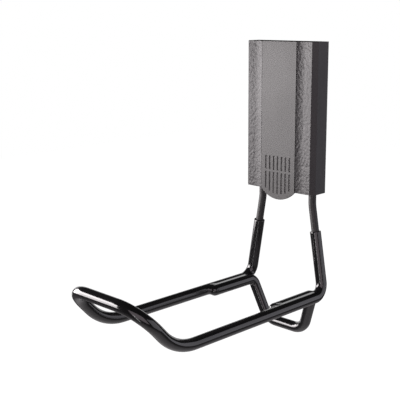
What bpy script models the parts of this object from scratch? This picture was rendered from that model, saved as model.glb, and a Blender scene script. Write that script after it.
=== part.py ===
"""Bicycle wall rack: a bent, dipped steel hook welded to a wall plate, under a pull-off cover.

Frame: metres, +Z up, the wall is the plane Y = 0 and the rack stands out of it towards -Y.
The origin is the middle of the wall plate's back face.
"""
import math

import bmesh
import bpy
from mathutils import Matrix, Vector

MM = 0.001
GAP = 0.3 * MM                      # clearance between touching pieces
CUT = 1.0 * MM                      # how far a cutter runs past the face that it opens

# Steel rod and its dipped coating
ROD_RADIUS = 4.75 * MM
COAT_RADIUS = 6.85 * MM
CAVITY_RADIUS = 5.1 * MM            # the coating's bore around a rod
ROD_BEVEL_RESOLUTION = 4            # 12 sides
TURN_STEP = math.radians(13)        # largest turn between two rings of a bend
DOME_ANGLES = (75, 55, 30, 0)       # latitudes of the rings of a domed end, from its tip

# Wall plate
PLATE_THICKNESS = 2.0 * MM
PLATE_HALF_WIDTH = 46.8 * MM
PLATE_HALF_HEIGHT = 84.0 * MM
PLATE_CORNER = 6.0 * MM
SCREW_HOLE_HEIGHTS = (-70 * MM, -22 * MM, 22 * MM, 70 * MM)
SCREW_HOLE_RADIUS = 3.0 * MM
COUNTERSINK_RADIUS = 5.2 * MM
COUNTERSINK_DEPTH = 0.8             # depth of the cone over its growth in radius
LUG_THICKNESS = 1.8 * MM
LUG_DEPTH = 18.0 * MM               # how far a lug stands out of the wall
LUG_HALF_HEIGHT = 10.0 * MM
LUG_HEIGHT = 62.0 * MM              # height of a lug's middle above or below the origin

# Cover
COVER_HALF_HEIGHT = 90.75 * MM
COVER_BACK = -1.0 * MM              # the rim stands just clear of the wall
COVER_WALL = 2.2 * MM
SIDE_HALF_WIDTH = 53.9 * MM
CREASE_HALF_WIDTH = 48.5 * MM       # where a wing meets the chamfered corner
CREASE_Y = -25.8 * MM
CHAMFER = SIDE_HALF_WIDTH - CREASE_HALF_WIDTH
VALLEY_HALF_WIDTH = 37.0 * MM       # the lowest line of a wing
VALLEY_Y = -24.9 * MM
SEAT_Y = -24.1 * MM                 # the face that the centre strip lies on
SEAT_HALF_WIDTH = 26.9 * MM
SHOULDER_Y = -26.3 * MM
FLANK_STEPS = 6
LEG_NOTCH_RADIUS = 5.7 * MM
DETENT_HEIGHT = 0.5 * MM            # ribs that the spring clips catch behind
DETENT_Y = (-6.0 * MM, -4.8 * MM)
HOLLOW_CORNER = CHAMFER - COVER_WALL * 0.4

# Centre strip
STRIP_FRONT = -26.6 * MM
STRIP_BACK = SEAT_Y - GAP
STRIP_HALF_WIDTH = 26.3 * MM
TONGUE_DROP = 12.0 * MM             # how far the tongue hangs below the cover
TONGUE_STEPS = 20
GROOVE_DEPTH = 0.8 * MM
GROOVE_RADIUS = 1.3 * MM
GROOVE_PITCH = 6.2 * MM
GROOVES_PER_ROW = 7
GROOVE_TOP = -48.5 * MM             # top of the upper row of thumb grooves
GROOVE_SPLIT = -67.5 * MM           # between the two rows
GROOVE_MARGIN = 7.0 * MM            # from the lower row to the tongue's edge
BOSS_RADIUS = 2.9 * MM
BOSS_END = -22.2 * MM
BOSS_ROOT = 0.5 * MM                # how deep a boss is rooted in the strip
BOSS_HOLE_RADIUS = 1.55 * MM
BOSS_HOLE_END = -25.3 * MM
BOSS_X = 18.0 * MM
SCREW_HEAD = 2.0 * MM
SCREW_HEAD_RADIUS = 4.2 * MM
BOSS_HEIGHTS = (-36 * MM, 66 * MM)

# Hook: places on the right half, mirrored to the left
LEG_Y = -(PLATE_THICKNESS + GAP + ROD_RADIUS)
LEG_X = 39.5 * MM
LEG_TOP = 78.0 * MM
SPLAY_HEIGHT = -106.3 * MM
ARM_X = 58.6 * MM
ELBOW_HEIGHT = -218.7 * MM
FRONT_Y = -259.8 * MM
FRONT_HEIGHT = -215.1 * MM
TIP_Y = -308.2 * MM
TIP_HEIGHT = -161.5 * MM
SPLAY_BEND = 55.0 * MM
ELBOW_BEND = 16.8 * MM
FRONT_BEND = 63.5 * MM
TIP_BEND = 33.6 * MM
COAT_TOP = -139.2 * MM              # level of the coating's edge on the legs

# Brace
BRACE_X = ARM_X - 2 * ROD_RADIUS - GAP
BRACE_FRONT_Y = -93.2 * MM
BRACE_REAR_Y = -15.4 * MM
BRACE_CORNER_X = 29.4 * MM
BRACE_BOTTOM = -271.7 * MM
BRACE_REAR_BEND = 9.0 * MM
BRACE_CORNER_BEND = 20.7 * MM
ARM_SLOPE = (FRONT_HEIGHT - ELBOW_HEIGHT) / (LEG_Y - FRONT_Y)

# Weld beads
PLATE_WELD_RADIUS = 1.1 * MM
PLATE_WELD_HALF_LENGTH = 11.5 * MM
PLATE_WELD_HEIGHT = 38.0 * MM
BRACE_WELD_RADIUS = 0.7 * MM
BRACE_WELD_HALF_LENGTH = 9.0 * MM
BRACE_WELD_PLACES = (("front", -76 * MM), ("rear", -34 * MM))
WELD_KNOTS = (-1, -0.6, 0.6, 1)     # places along a bead, from end to end
WELD_END_SCALE = 0.55               # a bead's ends are thinner than its middle

# Clips and rivets
CLIP_THICKNESS = 0.6 * MM
CLIP_HALF_HEIGHT = 6.0 * MM
RIVET_Y = -14.5 * MM
RIVET_RADIUS = 1.5 * MM
RIVET_HEAD_RADIUS = 2.4 * MM
RIVET_HEAD = 0.9 * MM
RIVET_DOME = 0.6                    # radius of a head's flat top over the head's radius
CLIP_FOLD = (                       # out from the lug's side and depth, from the riveted end
    (0, -11.5 * MM),
    (0, -17.2 * MM),
    (0.5 * MM, -18.2 * MM),
    (1.5 * MM, -18.5 * MM),
    (2.3 * MM, -17.6 * MM),
    (3.1 * MM, -10.0 * MM),
    (2.8 * MM, -7.5 * MM),
    (1.8 * MM, -5.0 * MM),
)

ROUND_SIDES = 16
STADIUM_STEPS = 5
CORNER_STEPS = 5
SEAL_DISTANCE = 0.003 * MM
SIDES = (("left", -1), ("right", 1))
LEVELS = (("lower", -1), ("upper", 1))
X_AXIS = Vector((1, 0, 0))
Y_AXIS = Vector((0, 1, 0))

COLOURS = {
    "rod_steel": ((0.045, 0.043, 0.043), 0.45, 0.6),
    "coating_vinyl": ((0.012, 0.012, 0.013), 0.22, 0.0),
    "plate_steel": ((0.06, 0.06, 0.062), 0.5, 0.5),
    "weld_steel": ((0.05, 0.048, 0.046), 0.6, 0.6),
    "cover_plastic": ((0.16, 0.155, 0.158), 0.55, 0.0),
    "strip_plastic": ((0.2, 0.195, 0.193), 0.38, 0.0),
    "spring_steel": ((0.42, 0.42, 0.43), 0.35, 1.0),
    "zinc_steel": ((0.6, 0.6, 0.58), 0.3, 1.0),
}


def clear_scene():
    for obj in list(bpy.data.objects):
        bpy.data.objects.remove(obj)


def material(slot):
    """The Principled material of one finish."""
    found = bpy.data.materials.get(slot)
    if found:
        return found
    colour, roughness, metallic = COLOURS[slot]
    made = bpy.data.materials.new(slot)
    made.use_nodes = True
    shader = made.node_tree.nodes["Principled BSDF"]
    shader.inputs["Base Color"].default_value = (*colour, 1)
    shader.inputs["Roughness"].default_value = roughness
    shader.inputs["Metallic"].default_value = metallic
    return made


def place(name, data, slot=None):
    """Link a mesh or curve as an object; without a finish it is a cutter."""
    obj = bpy.data.objects.new(name, data)
    bpy.context.scene.collection.objects.link(obj)
    if slot:
        data.materials.append(material(slot))
    else:
        obj.hide_render = True
        obj.display_type = 'WIRE'
    return obj


def mirrored(point, side):
    return Vector((point[0] * side, point[1], point[2]))


# ---- shapes -------------------------------------------------------------------------------


def rounded_path(corners, bends):
    """Straight runs through the corners, with each inner corner turned on its bend radius."""
    points = [corners[0]]
    for before, corner, after, bend in zip(corners, corners[1:], corners[2:], bends):
        arrive = (corner - before).normalized()
        leave = (after - corner).normalized()
        turn = arrive.angle(leave)
        start = corner - arrive * bend * math.tan(turn / 2)
        centre = start + (leave - arrive * arrive.dot(leave)).normalized() * bend
        axis = arrive.cross(leave)
        count = max(2, math.ceil(turn / TURN_STEP))
        for step in range(count + 1):
            spin = Matrix.Rotation(turn * step / count, 3, axis)
            points.append(centre + spin @ (start - centre))
    points.append(corners[-1])
    return points


def tube_curve(name, points, radius, scales=None):
    """A round bar along the points, with filled ends; scales thins it at each point."""
    curve = bpy.data.curves.new(name, 'CURVE')
    curve.dimensions = '3D'
    curve.bevel_depth = radius
    curve.bevel_resolution = ROD_BEVEL_RESOLUTION
    curve.use_fill_caps = True
    spline = curve.splines.new('POLY')
    spline.points.add(len(points) - 1)
    for index, (knot, point) in enumerate(zip(spline.points, points)):
        knot.co = (*point, 1)
        knot.radius = scales[index] if scales else 1
    spline.use_smooth = True
    return curve


def tube_mesh(name, points, radius, scales=None):
    """The same bar as a closed mesh, for use in a Boolean."""
    source = place(name + "_curve", tube_curve(name, points, radius, scales))
    graph = bpy.context.evaluated_depsgraph_get()
    mesh = bpy.data.meshes.new_from_object(source.evaluated_get(graph))
    bpy.data.objects.remove(source)
    return mesh


def prism(name, outline, low, high, axis='Z'):
    """A closed outline extruded from low to high along Z or Y."""
    shape = bmesh.new()
    if axis == 'Z':
        corners = [shape.verts.new((a, b, low)) for a, b in outline]
        travel = Vector((0, 0, high - low))
    else:
        corners = [shape.verts.new((a, low, b)) for a, b in outline]
        travel = Vector((0, high - low, 0))
    face = shape.faces.new(corners)
    extruded = bmesh.ops.extrude_face_region(shape, geom=[face])
    moved = [item for item in extruded["geom"] if isinstance(item, bmesh.types.BMVert)]
    bmesh.ops.translate(shape, verts=moved, vec=travel)
    bmesh.ops.recalc_face_normals(shape, faces=shape.faces)
    mesh = bpy.data.meshes.new(name)
    shape.to_mesh(mesh)
    shape.free()
    return mesh


def box(name, low, high):
    outline = [(low[0], low[1]), (high[0], low[1]), (high[0], high[1]), (low[0], high[1])]
    return prism(name, outline, low[2], high[2])


def lathe(name, profile, centre, direction):
    """Turn (distance along direction, radius) points round an axis through centre."""
    shape = bmesh.new()
    along = direction.normalized()
    across = along.orthogonal().normalized()
    verts = [shape.verts.new(centre + along * step + across * radius) for step, radius in profile]
    edges = [shape.edges.new(pair) for pair in zip(verts, verts[1:])]
    bmesh.ops.spin(shape, geom=verts + edges, cent=centre, axis=along, angle=math.tau,
                   steps=ROUND_SIDES, use_merge=True)
    bmesh.ops.remove_doubles(shape, verts=shape.verts, dist=0.001 * MM)
    bmesh.ops.recalc_face_normals(shape, faces=shape.faces)
    mesh = bpy.data.meshes.new(name)
    shape.to_mesh(mesh)
    shape.free()
    mesh.shade_smooth()
    mesh.set_sharp_from_angle(angle=math.radians(40))
    return mesh


def bore_profile(radius, start, end):
    """Half outline of a plain round cutter that overruns both ends."""
    return (start - CUT, 0), (start - CUT, radius), (end + CUT, radius), (end + CUT, 0)


def combine(target, mesh, operation):
    """Add or cut one mesh on the target by a Boolean."""
    tool = place(mesh.name + "_tool", mesh)
    modifier = target.modifiers.new(mesh.name, 'BOOLEAN')
    modifier.operation = operation
    modifier.solver = 'EXACT'
    modifier.object = tool


def seal(target):
    """Merge the doubled points that the cuts leave on one spot."""
    modifier = target.modifiers.new("seal", 'WELD')
    modifier.merge_threshold = SEAL_DISTANCE


# ---- steel frame --------------------------------------------------------------------------


def hook_corners(leg_start):
    """Corners of the hook from one leg's start, round the front loop, to the other leg's."""
    half = [
        leg_start,
        Vector((LEG_X, LEG_Y, SPLAY_HEIGHT)),
        Vector((ARM_X, LEG_Y, ELBOW_HEIGHT)),
        Vector((ARM_X, FRONT_Y, FRONT_HEIGHT)),
        Vector((ARM_X, TIP_Y, TIP_HEIGHT)),
    ]
    return half + [mirrored(point, -1) for point in reversed(half)]


def hook_path():
    bends = [SPLAY_BEND, ELBOW_BEND, FRONT_BEND, TIP_BEND]
    return rounded_path(hook_corners(Vector((LEG_X, LEG_Y, LEG_TOP))), bends + bends[::-1])


def coated_hook_path():
    """The hook's path below the coating's edge on the splayed legs."""
    part = (COAT_TOP - SPLAY_HEIGHT) / (ELBOW_HEIGHT - SPLAY_HEIGHT)
    edge = Vector((LEG_X + (ARM_X - LEG_X) * part, LEG_Y, COAT_TOP))
    corners = hook_corners(edge)
    del corners[-2], corners[1]
    bends = [ELBOW_BEND, FRONT_BEND, TIP_BEND]
    return rounded_path(corners, bends + bends[::-1])


def arm_height(y):
    return ELBOW_HEIGHT + (LEG_Y - y) * ARM_SLOPE


def brace_corners():
    half = [
        Vector((BRACE_X, BRACE_FRONT_Y, arm_height(BRACE_FRONT_Y))),
        Vector((BRACE_X, BRACE_REAR_Y, arm_height(BRACE_REAR_Y))),
        Vector((BRACE_CORNER_X, LEG_Y, BRACE_BOTTOM)),
    ]
    return half + [mirrored(point, -1) for point in reversed(half)]


def brace_path():
    bends = [BRACE_REAR_BEND, BRACE_CORNER_BEND]
    return rounded_path(brace_corners(), bends + bends[::-1])


def domed_ends(points, radius, overhang):
    """Close a coated bar's ends with a dome that reaches overhang past each end."""
    angles = [math.radians(angle) for angle in DOME_ANGLES]
    head = (points[0] - points[1]).normalized()
    tail = (points[-1] - points[-2]).normalized()
    reach = [overhang - radius * (1 - math.sin(a)) for a in angles]
    scales = [math.cos(a) for a in angles]
    front = [points[0] + head * r for r in reach]
    rear = [points[-1] + tail * r for r in reversed(reach)]
    inner = points[1:-1]
    return front + inner + rear, scales + [1] * len(inner) + scales[::-1]


def make_rods():
    place("hook_rod", tube_curve("hook_rod", hook_path(), ROD_RADIUS), "rod_steel")
    place("brace_rod", tube_curve("brace_rod", brace_path(), ROD_RADIUS), "rod_steel")


def make_coating():
    """One dip over both rods: their swollen outline, less the rods and the brace's weld beads."""
    coating = place("vinyl_coating", tube_mesh("coat", coated_hook_path(), COAT_RADIUS), "coating_vinyl")
    points, scales = domed_ends(brace_path(), COAT_RADIUS, COAT_RADIUS - ROD_RADIUS)
    combine(coating, tube_mesh("coat_brace", points, COAT_RADIUS, scales), 'UNION')
    combine(coating, tube_mesh("hook_bore", hook_path(), CAVITY_RADIUS), 'DIFFERENCE')
    brace_bore = brace_path()
    for end, inner in ((0, 1), (-1, -2)):
        outward = (brace_bore[end] - brace_bore[inner]).normalized()
        brace_bore[end] = brace_bore[end] + outward * GAP
    combine(coating, tube_mesh("brace_bore", brace_bore, CAVITY_RADIUS), 'DIFFERENCE')
    for name, points in brace_weld_lines():
        ends = (points[0] - points[-1]).normalized() * GAP
        pocket = [points[0] + ends] + points[1:-1] + [points[-1] - ends]
        combine(coating, tube_mesh(name + "_pocket", pocket, BRACE_WELD_RADIUS + GAP), 'DIFFERENCE')
    seal(coating)


def brace_weld_lines():
    """Name and centre line of each bead in the groove above a brace branch and its arm."""
    reach = ROD_RADIUS + GAP + BRACE_WELD_RADIUS
    middle_x = (ARM_X + BRACE_X) / 2
    rise = math.sqrt(reach ** 2 - (ARM_X - middle_x) ** 2)
    lines = []
    for side_name, side in SIDES:
        for place_name, y in BRACE_WELD_PLACES:
            ys = [y + BRACE_WELD_HALF_LENGTH * part for part in WELD_KNOTS]
            points = [Vector((middle_x * side, at, arm_height(at) + rise)) for at in ys]
            lines.append((f"brace_weld_{side_name}_{place_name}", points))
    return lines


def make_welds():
    scales = (WELD_END_SCALE, 1, 1, WELD_END_SCALE)
    for name, points in brace_weld_lines():
        place(name, tube_curve(name, points, BRACE_WELD_RADIUS, scales), "weld_steel")
    y = -(PLATE_THICKNESS + GAP + PLATE_WELD_RADIUS)
    offset = math.sqrt((ROD_RADIUS + GAP + PLATE_WELD_RADIUS) ** 2 - (y - LEG_Y) ** 2)
    for side_name, side in SIDES:
        for level_name, level in LEVELS:
            for edge_name, edge in (("inner", -1), ("outer", 1)):
                name = f"rod_weld_{side_name}_{level_name}_{edge_name}"
                x = (LEG_X + offset * edge) * side
                middle = PLATE_WELD_HEIGHT * level
                points = [Vector((x, y, middle + PLATE_WELD_HALF_LENGTH * part)) for part in WELD_KNOTS]
                place(name, tube_curve(name, points, PLATE_WELD_RADIUS, scales), "weld_steel")


def rounded_rectangle(half_width, half_height, corner):
    points = []
    for turn, (sx, sz) in enumerate(((1, 1), (-1, 1), (-1, -1), (1, -1))):
        for step in range(CORNER_STEPS + 1):
            angle = math.radians(90) * (turn + step / CORNER_STEPS)
            centre = (sx * (half_width - corner), sz * (half_height - corner))
            points.append((centre[0] + corner * math.cos(angle), centre[1] + corner * math.sin(angle)))
    return points


def make_wall_plate():
    outline = rounded_rectangle(PLATE_HALF_WIDTH, PLATE_HALF_HEIGHT, PLATE_CORNER)
    plate = place("wall_plate", prism("plate", outline, -PLATE_THICKNESS, 0, 'Y'), "plate_steel")
    inner = PLATE_HALF_WIDTH - LUG_THICKNESS
    for side_name, side in SIDES:
        for level_name, level in LEVELS:
            name = f"lug_{side_name}_{level_name}"
            middle = LUG_HEIGHT * level
            xs = sorted((inner * side, PLATE_HALF_WIDTH * side))
            low = (xs[0], -LUG_DEPTH, middle - LUG_HALF_HEIGHT)
            high = (xs[1], -PLATE_THICKNESS / 2, middle + LUG_HALF_HEIGHT)
            combine(plate, box(name, low, high), 'UNION')
            start = Vector((inner * side, RIVET_Y, middle))
            bore = bore_profile(RIVET_RADIUS + GAP, 0, LUG_THICKNESS)
            combine(plate, lathe(name + "_hole", bore, start, X_AXIS * side), 'DIFFERENCE')
    cone = COUNTERSINK_RADIUS - SCREW_HOLE_RADIUS
    hole = (
        (-CUT, 0),
        (-CUT, SCREW_HOLE_RADIUS),
        (PLATE_THICKNESS - cone * COUNTERSINK_DEPTH, SCREW_HOLE_RADIUS),
        (PLATE_THICKNESS, COUNTERSINK_RADIUS),
        (PLATE_THICKNESS + CUT, COUNTERSINK_RADIUS),
        (PLATE_THICKNESS + CUT, 0),
    )
    for number, height in enumerate(SCREW_HOLE_HEIGHTS, 1):
        cutter = lathe(f"screw_hole_{number}", hole, Vector((0, 0, height)), -Y_AXIS)
        combine(plate, cutter, 'DIFFERENCE')
    seal(plate)


def make_clips_and_rivets():
    """A folded spring clip on each lug's outer side, and the rivet that holds it."""
    base = PLATE_HALF_WIDTH + GAP + CLIP_THICKNESS / 2
    fold = [(base + out, y) for out, y in CLIP_FOLD]
    lug_inner = PLATE_HALF_WIDTH - LUG_THICKNESS
    head = LUG_THICKNESS + 2 * GAP + CLIP_THICKNESS
    rivet = (
        (-GAP - RIVET_HEAD, 0),
        (-GAP - RIVET_HEAD, RIVET_HEAD_RADIUS * RIVET_DOME),
        (-GAP - RIVET_HEAD / 2, RIVET_HEAD_RADIUS),
        (-GAP, RIVET_HEAD_RADIUS),
        (-GAP, RIVET_RADIUS),
        (head, RIVET_RADIUS),
        (head, RIVET_HEAD_RADIUS),
        (head + RIVET_HEAD / 2, RIVET_HEAD_RADIUS),
        (head + RIVET_HEAD, RIVET_HEAD_RADIUS * RIVET_DOME),
        (head + RIVET_HEAD, 0),
    )
    for side_name, side in SIDES:
        for level_name, level in LEVELS:
            spot = f"{side_name}_{level_name}"
            middle = LUG_HEIGHT * level
            strip = folded_strip("clip", fold, side, middle - CLIP_HALF_HEIGHT, middle + CLIP_HALF_HEIGHT)
            clip = place("cover_clip_" + spot, strip, "spring_steel")
            start = Vector((PLATE_HALF_WIDTH * side, RIVET_Y, middle))
            hole = lathe("clip_hole_" + spot, bore_profile(RIVET_RADIUS + GAP, 0, CUT), start, X_AXIS * side)
            combine(clip, hole, 'DIFFERENCE')
            centre = Vector((lug_inner * side, RIVET_Y, middle))
            place("clip_rivet_" + spot, lathe("rivet", rivet, centre, X_AXIS * side), "zinc_steel")


def folded_strip(name, fold, side, low, high):
    """A thin strip bent along the fold line, with half its thickness on each side of it."""
    line = [Vector((x * side, y)) for x, y in fold]
    left, right = [], []
    for before, point, after in zip(line[:1] + line, line, line[1:] + line[-1:]):
        along = ((point - before).normalized() + (after - point).normalized()).normalized()
        across = Vector((-along.y, along.x)) * CLIP_THICKNESS / 2
        left.append(point + across)
        right.append(point - across)
    return prism(name, [tuple(point) for point in left + right[::-1]], low, high)


# ---- cover --------------------------------------------------------------------------------


def cover_outline():
    """Plan of the cover's outside: seat for the strip, hollow flanks, wings, chamfers, sides."""
    half = [(SEAT_HALF_WIDTH, SEAT_Y), (SEAT_HALF_WIDTH, SHOULDER_Y)]
    width = VALLEY_HALF_WIDTH - SEAT_HALF_WIDTH
    height = VALLEY_Y - SHOULDER_Y
    for step in range(1, FLANK_STEPS + 1):
        angle = math.radians(90) * step / FLANK_STEPS
        half.append((VALLEY_HALF_WIDTH - width * math.cos(angle), SHOULDER_Y + height * math.sin(angle)))
    half += [
        (CREASE_HALF_WIDTH, CREASE_Y),
        (SIDE_HALF_WIDTH, CREASE_Y + CHAMFER),
        (SIDE_HALF_WIDTH, COVER_BACK),
    ]
    return half + [(-x, y) for x, y in reversed(half)]


def stadium(centre_x, radius, low, high):
    """A slot outline with round ends, from low to high."""
    points = []
    for middle, start in ((high - radius, 0), (low + radius, math.pi)):
        for step in range(STADIUM_STEPS + 1):
            angle = start + math.pi * step / STADIUM_STEPS
            points.append((centre_x + radius * math.cos(angle), middle + radius * math.sin(angle)))
    return points


def make_front_cover():
    cover = place("front_cover", prism("shell", cover_outline(), -COVER_HALF_HEIGHT, COVER_HALF_HEIGHT),
                  "cover_plastic")
    inner_x = SIDE_HALF_WIDTH - COVER_WALL
    inner_y = SEAT_Y + COVER_WALL
    inner_z = COVER_HALF_HEIGHT - COVER_WALL
    hollow = [
        (inner_x, CUT),
        (-inner_x, CUT),
        (-inner_x, inner_y + HOLLOW_CORNER),
        (-inner_x + HOLLOW_CORNER, inner_y),
        (inner_x - HOLLOW_CORNER, inner_y),
        (inner_x, inner_y + HOLLOW_CORNER),
    ]
    combine(cover, prism("hollow", hollow, -inner_z, inner_z), 'DIFFERENCE')
    for side_name, side in SIDES:
        low = LEG_Y - LEG_NOTCH_RADIUS
        notch = stadium(LEG_X * side, LEG_NOTCH_RADIUS, low, LEG_NOTCH_RADIUS + CUT)
        opening = prism(f"notch_{side_name}", notch, -COVER_HALF_HEIGHT - CUT, -inner_z + CUT)
        combine(cover, opening, 'DIFFERENCE')
        for level_name, level in LEVELS:
            xs = sorted(((inner_x - DETENT_HEIGHT) * side, (inner_x + COVER_WALL / 2) * side))
            low = (xs[0], DETENT_Y[0], LUG_HEIGHT * level - LUG_HALF_HEIGHT)
            high = (xs[1], DETENT_Y[1], LUG_HEIGHT * level + LUG_HALF_HEIGHT)
            combine(cover, box(f"detent_{side_name}_{level_name}", low, high), 'UNION')
        for number, height in enumerate(BOSS_HEIGHTS, 1):
            start = Vector((BOSS_X * side, 0, height))
            profile = bore_profile(BOSS_RADIUS + GAP, SEAT_Y, inner_y)
            combine(cover, lathe(f"boss_hole_{side_name}_{number}", profile, start, Y_AXIS), 'DIFFERENCE')
    seal(cover)


def tongue_height(x):
    """Lower edge of the tongue at x: an arc from side to side of the strip."""
    radius = (STRIP_HALF_WIDTH ** 2 + TONGUE_DROP ** 2) / (2 * TONGUE_DROP)
    return -COVER_HALF_HEIGHT - TONGUE_DROP + radius - math.sqrt(radius ** 2 - x ** 2)


def make_centre_strip():
    xs = [STRIP_HALF_WIDTH * (2 * step / TONGUE_STEPS - 1) for step in range(TONGUE_STEPS + 1)]
    outline = [(x, tongue_height(x)) for x in xs]
    outline += [(STRIP_HALF_WIDTH, COVER_HALF_HEIGHT), (-STRIP_HALF_WIDTH, COVER_HALF_HEIGHT)]
    strip = place("centre_strip", prism("strip", outline, STRIP_FRONT, STRIP_BACK, 'Y'), "strip_plastic")
    places = [(f"{name}_{number}", Vector((BOSS_X * side, 0, height)))
              for name, side in SIDES for number, height in enumerate(BOSS_HEIGHTS, 1)]
    for name, start in places:
        root = STRIP_BACK - BOSS_ROOT
        boss = ((BOSS_END, 0), (BOSS_END, BOSS_RADIUS), (root, BOSS_RADIUS), (root, 0))
        combine(strip, lathe("boss_" + name, boss, start, Y_AXIS), 'UNION')
    for name, start in places:
        hole = (
            (BOSS_END + CUT, 0),
            (BOSS_END + CUT, BOSS_HOLE_RADIUS),
            (BOSS_HOLE_END, BOSS_HOLE_RADIUS),
            (BOSS_HOLE_END, 0),
        )
        combine(strip, lathe("pilot_" + name, hole, start, Y_AXIS), 'DIFFERENCE')
    for column in range(GROOVES_PER_ROW):
        x = (column - (GROOVES_PER_ROW - 1) / 2) * GROOVE_PITCH
        rows = (
            (GROOVE_SPLIT + GROOVE_RADIUS, GROOVE_TOP),
            (tongue_height(x) + GROOVE_MARGIN, GROOVE_SPLIT - GROOVE_RADIUS),
        )
        for row, (low, high) in enumerate(rows):
            outline = stadium(x, GROOVE_RADIUS, low, high)
            floor = STRIP_FRONT + GROOVE_DEPTH
            groove = prism(f"groove_{row}_{column}", outline, STRIP_FRONT - CUT, floor, 'Y')
            combine(strip, groove, 'DIFFERENCE')
    seal(strip)


def make_strip_screws():
    """Pan-headed self-tapping screws from inside the cover into the strip's bosses."""
    seat = SEAT_Y + COVER_WALL + GAP
    shank = BOSS_HOLE_RADIUS - GAP
    profile = (
        (seat + SCREW_HEAD, 0),
        (seat + SCREW_HEAD, SCREW_HEAD_RADIUS * 0.62),
        (seat + SCREW_HEAD * 0.65, SCREW_HEAD_RADIUS * 0.95),
        (seat, SCREW_HEAD_RADIUS),
        (seat, shank),
        (BOSS_HOLE_END + GAP, shank),
        (BOSS_HOLE_END + GAP, 0),
    )
    for side_name, side in SIDES:
        for level_name, height in zip(("lower", "upper"), BOSS_HEIGHTS):
            start = Vector((BOSS_X * side, 0, height))
            name = f"strip_screw_{side_name}_{level_name}"
            place(name, lathe("screw", profile, start, Y_AXIS), "zinc_steel")


def main():
    clear_scene()
    make_wall_plate()
    make_rods()
    make_coating()
    make_welds()
    make_clips_and_rivets()
    make_front_cover()
    make_centre_strip()
    make_strip_screws()


main()
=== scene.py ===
"""Bicycle wall rack: the finished look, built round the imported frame.

Metres, +Z up. The wall is the plane Y = 0 and the rack stands out of it towards -Y.
"""
import math

import bmesh
import bpy
import numpy as np
from mathutils import Matrix, Vector


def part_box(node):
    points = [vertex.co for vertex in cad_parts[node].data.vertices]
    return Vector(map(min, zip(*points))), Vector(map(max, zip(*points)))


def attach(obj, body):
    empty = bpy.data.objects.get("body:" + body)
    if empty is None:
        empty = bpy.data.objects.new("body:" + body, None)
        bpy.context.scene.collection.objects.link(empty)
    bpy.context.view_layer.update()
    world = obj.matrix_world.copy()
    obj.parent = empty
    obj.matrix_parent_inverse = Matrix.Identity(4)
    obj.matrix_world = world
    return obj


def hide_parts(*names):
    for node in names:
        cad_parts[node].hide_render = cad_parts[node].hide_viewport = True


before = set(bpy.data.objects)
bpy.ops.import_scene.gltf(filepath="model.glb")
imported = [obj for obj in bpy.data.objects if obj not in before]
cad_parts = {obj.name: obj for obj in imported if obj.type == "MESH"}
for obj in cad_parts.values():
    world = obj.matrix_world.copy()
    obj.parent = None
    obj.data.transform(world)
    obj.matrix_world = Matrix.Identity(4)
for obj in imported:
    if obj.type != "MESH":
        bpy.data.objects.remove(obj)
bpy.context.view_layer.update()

MM = 0.001
GAP = 0.3 * MM                      # air between two pieces that touch on the real rack
CLOSE = 0.01 * MM                   # points nearer than this count as on the same line
MERGE = 0.001 * MM                  # points nearer than this become one
TINY = 1e-9                         # keeps a division away from zero
QUARTER_TURN = math.radians(90)
SIDES = (("left", -1), ("right", 1))
LEVELS = (("lower", -1), ("upper", 1))

# Steel bars and their dipped coating
ROD_RADIUS = 4.75 * MM
COAT_RADIUS = 6.85 * MM
BAR_SIDES = 48
BEND_STEP = math.radians(3)
LEG_Y = -7.05 * MM
LEG_X = 39.5 * MM
LEG_TOP = 78.0 * MM
SPLAY_HEIGHT = -106.3 * MM
ARM_X = 58.6 * MM
ELBOW_HEIGHT = -218.7 * MM
FRONT_Y = -259.8 * MM
FRONT_HEIGHT = -215.1 * MM
TIP_Y = -308.2 * MM
TIP_HEIGHT = -161.5 * MM
SPLAY_BEND = 55.0 * MM
ELBOW_BEND = 16.8 * MM
FRONT_BEND = 63.5 * MM
TIP_BEND = 33.6 * MM
COAT_TOP = -139.2 * MM              # level of the coating's edge on the legs
BRACE_X = ARM_X - 2 * ROD_RADIUS - GAP
BRACE_FRONT_Y = -93.2 * MM
BRACE_REAR_Y = -15.4 * MM
BRACE_CORNER_X = 29.4 * MM
BRACE_BOTTOM = -271.7 * MM
BRACE_REAR_BEND = 9.0 * MM
BRACE_CORNER_BEND = 20.7 * MM
ARM_SLOPE = (FRONT_HEIGHT - ELBOW_HEIGHT) / (LEG_Y - FRONT_Y)
BAR_END_EDGE = 0.5 * MM
SKIN_VOXEL = 0.85 * MM
SKIN_STEPS = 4                      # times that the coating's points are moved onto its skin
LEAST_SLOPE = 0.05                  # keeps a point in a groove from being moved too far
SKIN_BLEND = 4.5 * MM               # how softly the coating fills the groove between two bars
LIP_BLEND = 0.8 * MM                # rounding of the coating's edge on the legs
LUMP_BLEND = 2.0 * MM
COAT_LUMPS = (                      # depth, rise over the arm and radius of each coated weld spot
    (-94.5 * MM, 1.6 * MM, 4.2 * MM),
    (-89.0 * MM, 3.2 * MM, 3.4 * MM),
    (-84.5 * MM, 3.0 * MM, 3.0 * MM),
)

# Cover
COVER_WALL = 2.2 * MM
CREASE_HALF_WIDTH = 48.5 * MM
CREASE_Y = -25.8 * MM
CHAMFER_Y = -20.4 * MM
VALLEY_HALF_WIDTH = 37.0 * MM
VALLEY_Y = -24.9 * MM
SEAT_Y = -24.1 * MM
SEAT_HALF_WIDTH = 26.9 * MM
SHOULDER_Y = -26.3 * MM
FLANK_STEPS = 12
LEG_NOTCH_RADIUS = 5.7 * MM
COVER_EDGE = 0.5 * MM
PEBBLE_SIZE = 2.5 * MM
PEBBLE_HEIGHT = 0.5 * MM
UPRIGHT_CUTS = 100                  # cuts through a wing's long upright edges
HALVING_CUTS = 1                    # cuts through each row that those leave
LEVEL_CUTS = 12                     # cuts across a wing's wide outer face
DETENT_HEIGHT = 0.5 * MM
DETENT_Y = (-6.0 * MM, -4.8 * MM)

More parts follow.
